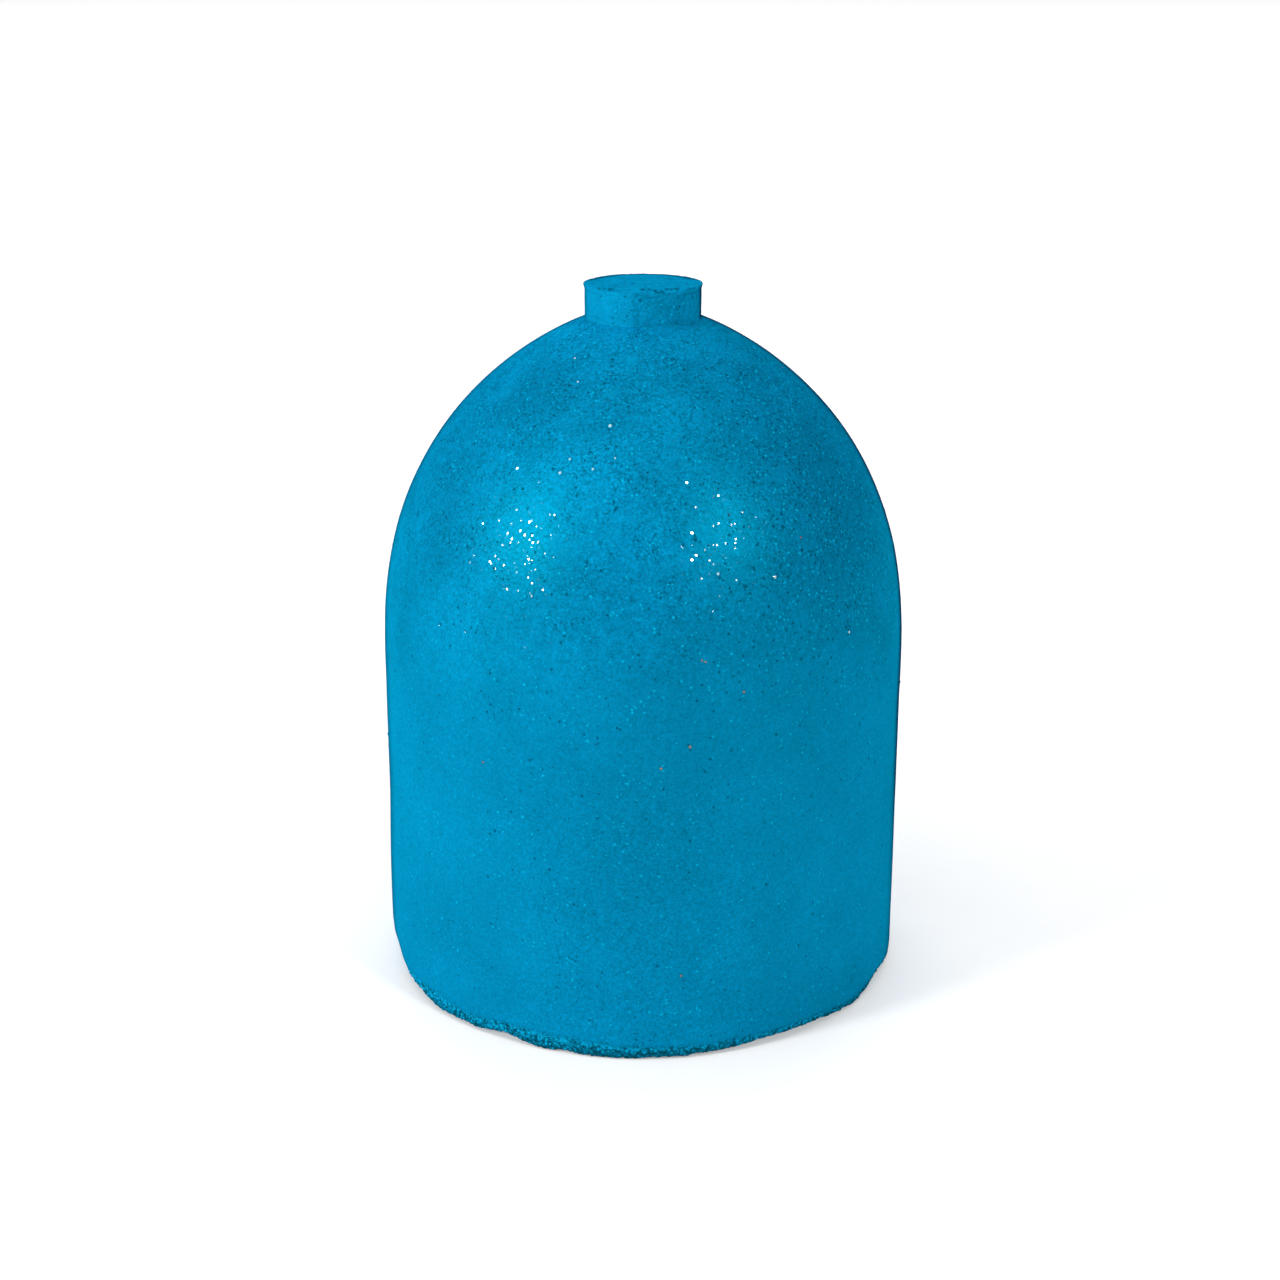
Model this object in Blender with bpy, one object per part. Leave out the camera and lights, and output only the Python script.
"""Closed-end guitar slide made in the form of a small bottle: a hollow glazed
body with a domed crown and a short neck, open below where the finger goes in.
A stopper with a rubber band closes the neck, and a split sleeve lines the bore.

Frame: metres, +Z up along the bore, origin at the centre of the rim's resting
plane. All constants below are millimetres.
"""

import math

import bmesh
import bpy
from mathutils import Matrix

MM = 0.001

# --- driving dimensions, mm -------------------------------------------------
BODY_R = 14.0          # outside radius of the barrel: a 28 mm slide
BARREL_H = 16.70       # height at which the barrel turns into the dome
DOME_RISE = 19.66      # from there to the dome's unbroken apex
DOME_Z_POWER = 2.59    # the dome is a superellipse in (height, radius)
DOME_R_POWER = 1.53

BORE_R = 10.4          # bare bore of the body
BORE_H = 15.2          # height at which the bore turns into its own dome
CAVITY_RISE = 16.8
CAVITY_Z_POWER = 2.4
CAVITY_R_POWER = 1.6

RIM_OUTER_ROUND = 0.3  # rounding of the rim, outside and inside
RIM_INNER_ROUND = 0.5

NECK_R = 3.03          # outside radius of the neck
NECK_BORE_R = 1.9
NECK_TOP = 37.10       # height of the neck's lip

HEAD_GAP = 0.08        # the stopper's head stands this far off the lip
HEAD_R = 3.10
HEAD_EDGE = 0.20       # thickness of the head at its edge
HEAD_CROWN = 0.06      # and how much its centre stands above that edge
SHANK_R = 1.55
SHANK_LENGTH = 5.3
SHANK_TIP_CHAMFER = 0.4
GROOVE_R = 1.2
GROOVE_FROM = 1.5      # from the underside of the head down to the groove
GROOVE_LENGTH = 2.2

BAND_CLEAR = 0.05      # rubber band to the groove, all round
BAND_OUTER_R = 1.86
BAND_ROUND = 0.22

LINER_OUTER_R = 10.28
LINER_THICK = 0.98
LINER_FROM = 1.1       # set back from the rim
LINER_TO = 15.4
LINER_SPLIT_DEG = 3.0  # the butt joint of the rolled strip, at the back

BODY_SEGMENTS = 72
SMALL_SEGMENTS = 40


def clear_scene():
    for obj in list(bpy.data.objects):
        bpy.data.objects.remove(obj, do_unlink=True)


def material(name, colour, roughness, metallic=0.0):
    mat = bpy.data.materials.new(name)
    mat.use_nodes = True
    bsdf = mat.node_tree.nodes["Principled BSDF"]
    bsdf.inputs["Base Color"].default_value = (*colour, 1.0)
    bsdf.inputs["Roughness"].default_value = roughness
    bsdf.inputs["Metallic"].default_value = metallic
    mat.diffuse_color = (*colour, 1.0)
    return mat


def superellipse_r(z, start, rise, radius, z_power, r_power):
    """Radius of a dome at height z."""
    t = min(max((z - start) / rise, 0.0), 1.0)
    return radius * (1.0 - t**z_power) ** (1.0 / r_power)


def superellipse_z(r, start, rise, radius, z_power, r_power):
    """Height at which that dome has radius r."""
    return start + rise * (1.0 - (r / radius) ** r_power) ** (1.0 / z_power)


OUTER_DOME = (BARREL_H, DOME_RISE, BODY_R, DOME_Z_POWER, DOME_R_POWER)
INNER_DOME = (BORE_H, CAVITY_RISE, BORE_R, CAVITY_Z_POWER, CAVITY_R_POWER)


def dome_points(dome, r_end, count):
    """(r, z) from the dome's spring line up to radius r_end, closer together
    where it turns fast."""
    start, rise, radius, z_power, r_power = dome
    z_end = superellipse_z(r_end, *dome)
    points = []
    for i in range(count + 1):
        z = start + (z_end - start) * math.sin(0.5 * math.pi * i / count)
        points.append((superellipse_r(z, *dome), z))
    points[-1] = (r_end, z_end)
    return points


def arc(cx, cz, radius, from_deg, to_deg, steps):
    out = []
    for i in range(steps + 1):
        a = math.radians(from_deg + (to_deg - from_deg) * i / steps)
        out.append((cx + radius * math.cos(a), cz + radius * math.sin(a)))
    return out


def turned(name, profile, segments, closed, mat, z_origin=0.0):
    """An object turned about Z by a Screw modifier. The profile is in mm, at +X,
    and runs down its outer side."""
    mesh = bpy.data.meshes.new(name)
    bm = bmesh.new()
    verts = [bm.verts.new((r * MM, 0.0, (z - z_origin) * MM)) for r, z in profile]
    for a, b in zip(verts, verts[1:]):
        bm.edges.new((a, b))
    if closed:
        bm.edges.new((verts[-1], verts[0]))
    bm.to_mesh(mesh)
    bm.free()
    obj = bpy.data.objects.new(name, mesh)
    bpy.context.scene.collection.objects.link(obj)
    obj.location = (0.0, 0.0, z_origin * MM)
    screw = obj.modifiers.new("turn", "SCREW")
    screw.axis = "Z"
    screw.angle = 2 * math.pi
    screw.steps = segments
    screw.render_steps = segments
    screw.use_merge_vertices = True
    screw.merge_threshold = 0.000002
    screw.use_smooth_shade = True
    mesh.materials.append(mat)
    return obj


def build_body(mat):
    """Barrel, dome and neck in one hollow piece, open at the rim and at the lip."""
    outside = dome_points(OUTER_DOME, NECK_R, 15)          # spring line to neck
    inside = dome_points(INNER_DOME, NECK_BORE_R, 11)      # spring line to neck bore
    lip = 0.12
    profile = []
    # lip of the neck, outer side going down
    profile += [(NECK_BORE_R + lip, NECK_TOP), (NECK_R - lip, NECK_TOP)]
    profile += [(NECK_R, NECK_TOP - lip)]
    profile += list(reversed(outside))
    # barrel, in a few steps
    for f in (0.75, 0.5, 0.25):
        profile.append((BODY_R, RIM_OUTER_ROUND + (BARREL_H - RIM_OUTER_ROUND) * f))
    # rounded rim and the flat it rests on
    profile += arc(BODY_R - RIM_OUTER_ROUND, RIM_OUTER_ROUND, RIM_OUTER_ROUND, 0, -90, 4)
    profile += arc(BORE_R + RIM_INNER_ROUND, RIM_INNER_ROUND, RIM_INNER_ROUND, -90, -180, 4)
    # bore, cavity and neck bore, going up
    profile.append((BORE_R, 0.5 * BORE_H))
    profile += inside
    profile.append((NECK_BORE_R, NECK_TOP - lip))
    return turned("slide_body", profile, BODY_SEGMENTS, True, mat)


def build_stopper(mat, axis):
    """Thin crowned head over the lip and a grooved shank down the neck."""
    under = NECK_TOP + HEAD_GAP
    edge = under + HEAD_EDGE
    crown = []
    for i in range(5):
        r = HEAD_R * 0.98 * i / 4
        crown.append((r, edge + HEAD_CROWN * (1.0 - (r / HEAD_R) ** 2)))
    groove_top = under - GROOVE_FROM
    groove_end = groove_top - GROOVE_LENGTH
    tip = under - SHANK_LENGTH
    profile = crown + [
        (HEAD_R, edge - 0.04),
        (HEAD_R, under + 0.05),
        (HEAD_R - 0.05, under),
        (SHANK_R, under),
        (SHANK_R, groove_top),
        (GROOVE_R, groove_top),
        (GROOVE_R, groove_end),
        (SHANK_R, groove_end),
        (SHANK_R, tip + SHANK_TIP_CHAMFER),
        (SHANK_R - SHANK_TIP_CHAMFER, tip),
        (0.0, tip),
    ]
    obj = turned("neck_stopper", profile, SMALL_SEGMENTS, False, mat, z_origin=under)
    obj.parent = axis
    obj.matrix_parent_inverse = Matrix.Identity(4)
    obj.location = (0.0, 0.0, 0.0)
    return obj


def build_band(mat, axis):
    """Rubber band that sits in the stopper's groove and grips the neck bore."""
    under = NECK_TOP + HEAD_GAP
    top = under - GROOVE_FROM - BAND_CLEAR
    bottom = under - GROOVE_FROM - GROOVE_LENGTH + BAND_CLEAR
    inner = GROOVE_R + BAND_CLEAR
    k = BAND_ROUND
    profile = [(inner, top)]
    profile += arc(BAND_OUTER_R - k, top - k, k, 90, 0, 4)
    profile += arc(BAND_OUTER_R - k, bottom + k, k, 0, -90, 4)
    profile += [(inner, bottom)]
    obj = turned("stopper_band", profile, SMALL_SEGMENTS, True, mat, z_origin=under)
    obj.parent = axis
    obj.matrix_parent_inverse = Matrix.Identity(4)
    obj.location = (0.0, 0.0, 0.0)
    return obj


def build_liner(mat):
    """A strip rolled into a sleeve, its two ends meeting at the back of the bore."""
    outer, inner = LINER_OUTER_R, LINER_OUTER_R - LINER_THICK
    k = 0.25
    section = [
        (inner, LINER_FROM + k), (inner + k, LINER_FROM), (outer - k, LINER_FROM),
        (outer, LINER_FROM + k), (outer, LINER_TO - k), (outer - k, LINER_TO),
        (inner + k, LINER_TO), (inner, LINER_TO - k),
    ]
    half = math.radians(LINER_SPLIT_DEG / 2)
    start = math.radians(90) + half
    mesh = bpy.data.meshes.new("finger_liner")
    bm = bmesh.new()
    ring = [
        bm.verts.new((r * MM * math.cos(start), r * MM * math.sin(start), z * MM))
        for r, z in section
    ]
    face = bm.faces.new(ring)
    bmesh.ops.spin(
        bm,
        geom=[face] + list(face.edges) + ring,
        cent=(0, 0, 0),
        axis=(0, 0, 1),
        angle=2 * math.pi - 2 * half,
        steps=BODY_SEGMENTS - 1,
        use_duplicate=False,
    )
    bmesh.ops.recalc_face_normals(bm, faces=bm.faces)
    bm.to_mesh(mesh)
    bm.free()
    mesh.shade_smooth()
    mesh.set_sharp_from_angle(angle=math.radians(35))
    mesh.materials.append(mat)
    obj = bpy.data.objects.new("finger_liner", mesh)
    bpy.context.scene.collection.objects.link(obj)
    return obj


def main():
    clear_scene()
    glaze = material("blue_glaze", (0.002, 0.245, 0.475), 0.42)
    rubber = material("black_rubber", (0.018, 0.018, 0.02), 0.75)
    leather = material("tan_leather", (0.36, 0.19, 0.09), 0.8)

    # the stopper draws straight up the neck, so its parent sits on that axis at the lip
    axis = bpy.data.objects.new("stopper_axis", None)
    axis.empty_display_size = 0.004
    axis.location = (0.0, 0.0, (NECK_TOP + HEAD_GAP) * MM)
    bpy.context.scene.collection.objects.link(axis)

    build_body(glaze)
    build_stopper(glaze, axis)
    build_band(rubber, axis)
    build_liner(leather)


main()
